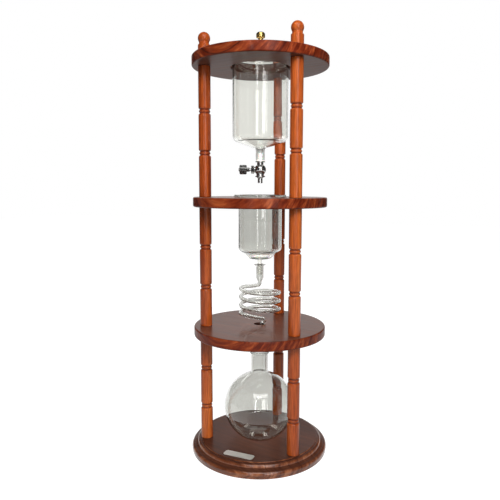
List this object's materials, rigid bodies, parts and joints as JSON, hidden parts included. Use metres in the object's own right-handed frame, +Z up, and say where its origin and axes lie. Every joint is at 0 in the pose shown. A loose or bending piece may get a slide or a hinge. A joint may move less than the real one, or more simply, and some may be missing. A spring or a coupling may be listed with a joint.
{
  "type": "cold drip coffee tower",
  "caption": "Round wooden stand on turned posts holding a glass water bowl with a needle drip valve, a coffee chamber, a wound glass cooling coil and a round flask.",
  "frame": {"origin": "middle of the base board's flat underside, on the axis of the stand", "axes": "+Z up along the stand's axis, front (nameplate side) at -Y, +X to the right seen from the front"},
  "size_m": [0.2406, 0.2406, 0.7212],
  "materials": {
    "board_wood": "satin lacquer over dark stained hardwood, redder grain on the rims",
    "post_wood": "glossy lacquer over turned cherry-stained hardwood",
    "clear_glass": "clear borosilicate glass, polished rims",
    "chrome": "polished chrome plating on brass",
    "brass": "polished brass",
    "steel": "plain machined stainless steel",
    "plate_metal": "brushed, blank, pale",
    "white_silicone": "soft translucent white silicone",
    "black_rubber": "black O-ring rubber",
    "sintered_filter": "pale sintered, finely pitted"
  },
  "bodies": {
    "stand": {"base_board": "board_wood", "lower_shelf": "board_wood", "middle_shelf": "board_wood", "top_board": "board_wood", "lower_post_left": "post_wood", "lower_post_right": "post_wood", "lower_post_back": "post_wood", "middle_post_left": "post_wood", "middle_post_right": "post_wood", "middle_post_back": "post_wood", "upper_post_left": "post_wood", "upper_post_right": "post_wood", "upper_post_back": "post_wood", "finial_left": "post_wood", "finial_right": "post_wood", "finial_back": "post_wood", "threaded_inserts": "brass", "shelf_studs": "steel", "base_screws": "steel", "nameplate": "plate_metal"},
    "bowl": {"water_bowl": "clear_glass", "valve_seal": "white_silicone", "valve_body": "chrome", "outlet_nozzle": "chrome", "gland_nut": "chrome", "spindle_ring": "black_rubber"},
    "lid": {"bowl_lid": "clear_glass", "lid_knob": "brass", "lid_washer": "white_silicone", "lid_screw": "steel"},
    "spindle": {"needle_spindle": "steel"},
    "knob": {"valve_knob": "chrome", "knob_screw": "chrome"},
    "chamber": {"coffee_chamber": "clear_glass"},
    "filter": {"filter_disc": "sintered_filter", "filter_seal": "white_silicone"},
    "coil": {"cooling_coil": "clear_glass"},
    "flask": {"flask": "clear_glass"}
  },
  "joints": [
    {"name": "bowl_lift", "type": "slide", "parent": "stand", "child": "bowl", "axis": [0, 0, 1], "range_m": [0, 0.215]},
    {"name": "lid_lift", "type": "slide", "parent": "bowl", "child": "lid", "axis": [0, 0, 1], "range_m": [0, 0.06]},
    {"name": "spindle_travel", "type": "slide", "parent": "bowl", "child": "spindle", "axis": [-0.9205, -0.3907, 0], "range_m": [0, 0.0023]},
    {"name": "knob_turn", "type": "hinge", "parent": "spindle", "child": "knob", "pos_m": [0, 0, 0.4946], "axis": [-0.9205, -0.3907, 0], "range_deg": [0, 720]},
    {"name": "chamber_lift", "type": "slide", "parent": "stand", "child": "chamber", "axis": [0, 0, 1], "range_m": [0, 0.032]},
    {"name": "filter_lift", "type": "slide", "parent": "chamber", "child": "filter", "axis": [0, 0, 1], "range_m": [0, 0.08]},
    {"name": "coil_lift", "type": "slide", "parent": "stand", "child": "coil", "axis": [0, 0, 1], "range_m": [0, 0.005]},
    {"name": "flask_slide", "type": "slide", "parent": "stand", "child": "flask", "axis": [0, -1, 0], "range_m": [0, 0.21]}
  ],
  "couplings": [
    {"joint": "spindle_travel", "follows": "knob_turn", "m_per_rad": 0.000159}
  ]
}
